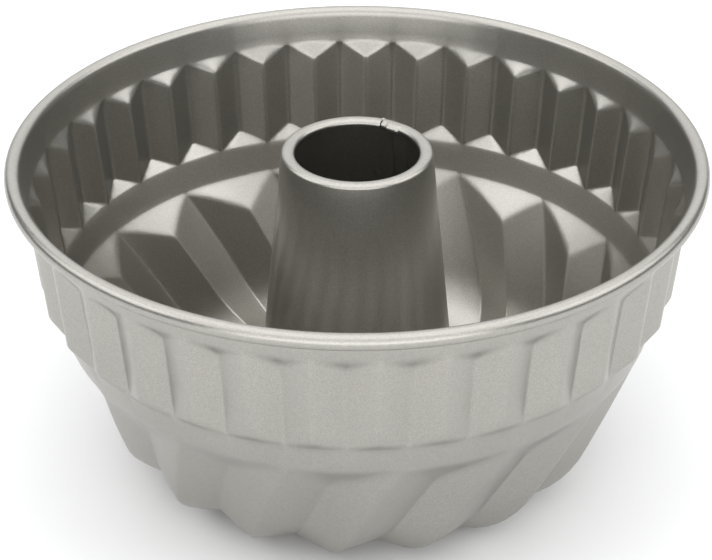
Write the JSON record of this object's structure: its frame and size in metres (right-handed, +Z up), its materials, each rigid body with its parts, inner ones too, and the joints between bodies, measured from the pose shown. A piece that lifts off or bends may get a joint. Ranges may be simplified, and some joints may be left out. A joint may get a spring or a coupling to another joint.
{
  "type": "gugelhupf pan",
  "caption": "Round fluted ring cake mould in coated sheet steel, with a rolled rim, upright flutes, swirling ribs and a tapered chimney tube crimped into the floor.",
  "frame": {"origin": "on the pan's axis, in the plane of the ring that it stands on", "axes": "+Z up along the axis, -Y the side that faces the viewer, +X to the viewer's right"},
  "size_m": [0.2198, 0.2198, 0.11],
  "materials": {
    "nonstick_coating": "metallic champagne-grey non-stick coating on sheet steel, semi-gloss, with a fine sparkling grain"
  },
  "bodies": {
    "root": {"pan_shell": "nonstick_coating", "chimney_tube": "nonstick_coating"}
  },
  "joints": []
}
